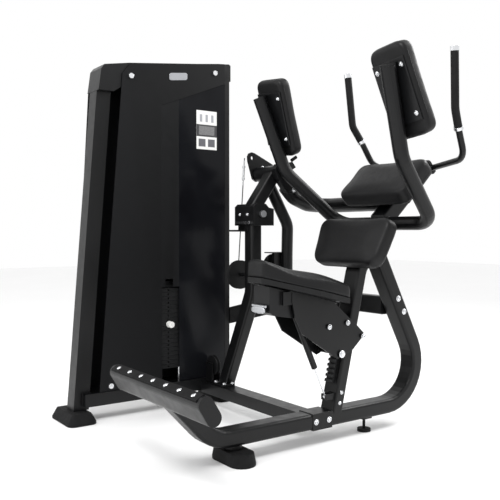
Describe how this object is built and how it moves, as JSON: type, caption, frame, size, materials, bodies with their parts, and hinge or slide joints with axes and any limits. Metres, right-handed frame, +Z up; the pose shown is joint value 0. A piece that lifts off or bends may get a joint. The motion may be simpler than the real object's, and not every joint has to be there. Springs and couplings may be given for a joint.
{
  "type": "ab crunch machine",
  "caption": "Seated abdominal crunch machine with an enclosed weight tower, sliding seat, lumbar pad and a swinging yoke carrying arm pads, back pad and handles.",
  "frame": {"origin": "centre of the bounding box in plan, on the floor", "axes": "+Z up; -X towards the foot bar, the way a seated user faces; +Y towards the weight tower"},
  "size_m": [1.4062, 1.4408, 1.662],
  "materials": {
    "black_frame": "satin black powder coat",
    "panel_black": "smooth satin black sheet",
    "tinted": "gloss dark tinted sheet",
    "rubber": "matt black rubber",
    "upholstery": "black upholstery leather",
    "chrome": "polished",
    "steel": "zinc-plated",
    "stack": "black painted plates",
    "plastic": "moulded black",
    "white": "white printed",
    "cable": "coated wire rope",
    "badge": "satin"
  },
  "bodies": {
    "frame": {"foot_bar": "black_frame", "foot_bar_strip": "rubber", "foot_bar_cap_left": "plastic", "foot_bar_cap_right": "plastic", "front_foot": "rubber", "tower_foot_front": "rubber", "tower_foot_rear": "rubber", "tower_frame": "black_frame", "guide_rod_front": "chrome", "guide_rod_rear": "chrome", "front_panel": "panel_black", "panel_screw_1": "chrome", "panel_screw_2": "chrome", "panel_screw_3": "chrome", "shroud": "panel_black", "tinted_panel": "tinted", "rear_cover": "panel_black", "placard": "white", "badge": "badge", "pivot_post": "black_frame", "rear_beam": "black_frame", "base_frame": "black_frame", "bracket_nut": "steel", "bracket_bar": "chrome", "lumbar_pad": "upholstery", "lumbar_board": "plastic", "lift_cable": "cable", "drive_cable": "cable"},
    "weight_stack": {"weight_stack": "stack", "stack_head": "black_frame"},
    "selector_pin": {"selector_pin": "white"},
    "arm": {"arm_frame": "black_frame", "hub_bolt": "chrome", "stop_block": "rubber", "upper_back_pad": "upholstery", "upper_back_board": "plastic", "arm_pad_right": "upholstery", "arm_pad_plate_right": "black_frame", "yoke_cap_right": "plastic", "arm_pad_left": "upholstery", "arm_pad_plate_left": "black_frame", "yoke_cap_left": "plastic", "handle_bar": "black_frame", "grip_collar_right": "chrome", "grip_right": "rubber", "grip_cap_right": "chrome", "grip_collar_left": "chrome", "grip_left": "rubber", "grip_cap_left": "chrome"},
    "seat": {"seat_carriage": "black_frame", "seat_board": "plastic", "seat_cushion": "upholstery"},
    "release_paddle": {"release_paddle": "steel"},
    "gas_rod": {"gas_rod": "chrome"},
    "gas_cylinder": {"gas_cylinder": "black_frame"},
    "levelling_foot": {"levelling_foot": "rubber"},
    "pulley_front": {"pulley_front": "plastic"},
    "pulley_rear": {"pulley_rear": "plastic"},
    "pulley_lower": {"pulley_lower": "plastic"},
    "pulley_top": {"pulley_top": "plastic"}
  },
  "joints": [
    {"name": "arm_hinge", "type": "hinge", "parent": "frame", "child": "arm", "pos_m": [0.15615, 0.1529, 1.1], "axis": [0, -1, 0], "range_deg": [0, 70], "deforming": ["drive_cable"]},
    {"name": "stack_slide", "type": "slide", "parent": "frame", "child": "weight_stack", "axis": [0, 0, 1], "range_m": [0, 0.19], "deforming": ["lift_cable"]},
    {"name": "pin_pull", "type": "slide", "parent": "weight_stack", "child": "selector_pin", "axis": [0, -1, 0], "range_m": [0, 0.06]},
    {"name": "pulley_front_spin", "type": "hinge", "parent": "frame", "child": "pulley_front", "pos_m": [0.04815, 0.2909, 0.637], "axis": [0, -1, 0], "range_deg": [0, 175]},
    {"name": "pulley_rear_spin", "type": "hinge", "parent": "frame", "child": "pulley_rear", "pos_m": [0.25315, 0.3009, 0.672], "axis": [0, -1, 0], "range_deg": [-215, 0]},
    {"name": "pulley_lower_spin", "type": "hinge", "parent": "frame", "child": "pulley_lower", "pos_m": [0.02815, 0.4829, 0.19], "axis": [1, 0, 0], "range_deg": [0, 225]},
    {"name": "pulley_top_spin", "type": "hinge", "parent": "frame", "child": "pulley_top", "pos_m": [-0.13985, 0.6029, 1.465], "axis": [0, -1, 0], "range_deg": [-325, 0]},
    {"name": "seat_slide", "type": "slide", "parent": "frame", "child": "seat", "axis": [0.2399, 0, 0.9708], "range_m": [-0.12, 0.02]},
    {"name": "release_press", "type": "hinge", "parent": "seat", "child": "release_paddle", "pos_m": [-0.24785, -0.2591, 0.558], "axis": [0, -1, 0], "range_deg": [0, 15], "stiffness_Nm_per_rad": 1.5, "springref_deg": -17.19},
    {"name": "gas_rod_pivot", "type": "hinge", "parent": "frame", "child": "gas_rod", "pos_m": [0.06915, -0.2741, 0.178], "axis": [0, -1, 0], "range_deg": [-5, 16]},
    {"name": "gas_cylinder_pivot", "type": "hinge", "parent": "seat", "child": "gas_cylinder", "pos_m": [-0.09185, -0.2741, 0.52], "axis": [0, -1, 0], "range_deg": [-5, 16]},
    {"name": "levelling_foot_screw", "type": "slide", "parent": "frame", "child": "levelling_foot", "axis": [0, 0, 1], "range_m": [0, 0.012]}
  ],
  "couplings": [
    {"joint": "stack_slide", "follows": "arm_hinge", "m_per_rad": 0.15},
    {"joint": "pulley_front_spin", "follows": "arm_hinge", "ratio": 2.4},
    {"joint": "pulley_rear_spin", "follows": "arm_hinge", "ratio": -3},
    {"joint": "pulley_lower_spin", "follows": "arm_hinge", "ratio": 3.1},
    {"joint": "pulley_top_spin", "follows": "arm_hinge", "ratio": -4.5},
    {"joint": "gas_rod_pivot", "follows": "seat_slide", "rad_per_m": -2.05},
    {"joint": "gas_cylinder_pivot", "follows": "seat_slide", "rad_per_m": -2.05}
  ]
}
